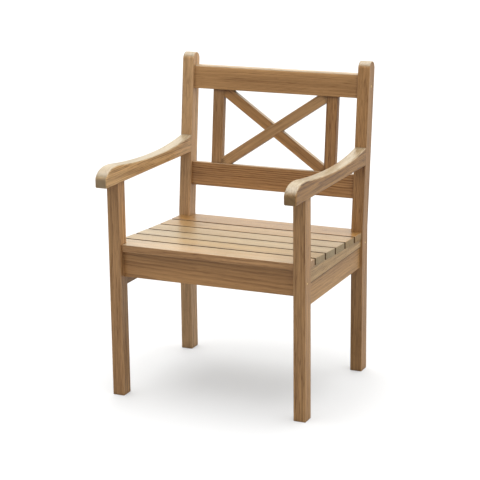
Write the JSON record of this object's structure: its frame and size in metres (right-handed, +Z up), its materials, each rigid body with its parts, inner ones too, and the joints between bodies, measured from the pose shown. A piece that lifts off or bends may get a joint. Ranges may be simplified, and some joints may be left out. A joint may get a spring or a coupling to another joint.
{
  "type": "garden chair",
  "caption": "Hardwood garden armchair with a dished slatted seat, dipped armrests and a raked back with crossed braces.",
  "frame": {"origin": "on the floor, under the middle of the chair's bounding box", "axes": "+Z up, the chair faces -Y, and +X is to the right of someone who stands facing it"},
  "size_m": [0.58, 0.593, 0.897],
  "materials": {
    "frame_wood": "oiled, satin",
    "rail_wood": "oiled, satin",
    "seat_wood": "oiled, satin",
    "back_wood": "oiled, satin",
    "pin_wood": "oiled, satin",
    "screw_steel": "brushed"
  },
  "bodies": {
    "root": {"front_leg_left": "frame_wood", "front_leg_right": "frame_wood", "rear_leg_left": "frame_wood", "rear_leg_right": "frame_wood", "armrest_left": "frame_wood", "armrest_right": "frame_wood", "front_apron": "rail_wood", "rear_apron": "rail_wood", "side_rail_left": "rail_wood", "side_rail_right": "rail_wood", "seat_bearer_left": "rail_wood", "seat_bearer_right": "rail_wood", "seat_slat_1": "seat_wood", "seat_slat_2": "seat_wood", "seat_slat_3": "seat_wood", "seat_slat_4": "seat_wood", "seat_slat_5": "seat_wood", "seat_slat_6": "seat_wood", "lower_back_rail": "back_wood", "crest_rail": "back_wood", "back_stile_left": "back_wood", "back_stile_right": "back_wood", "back_brace_rising": "back_wood", "back_brace_falling": "back_wood", "brace_dowels": "pin_wood", "bearer_pins": "pin_wood", "crest_plugs": "pin_wood", "crest_screws": "screw_steel", "slat_screws": "screw_steel"}
  },
  "joints": []
}
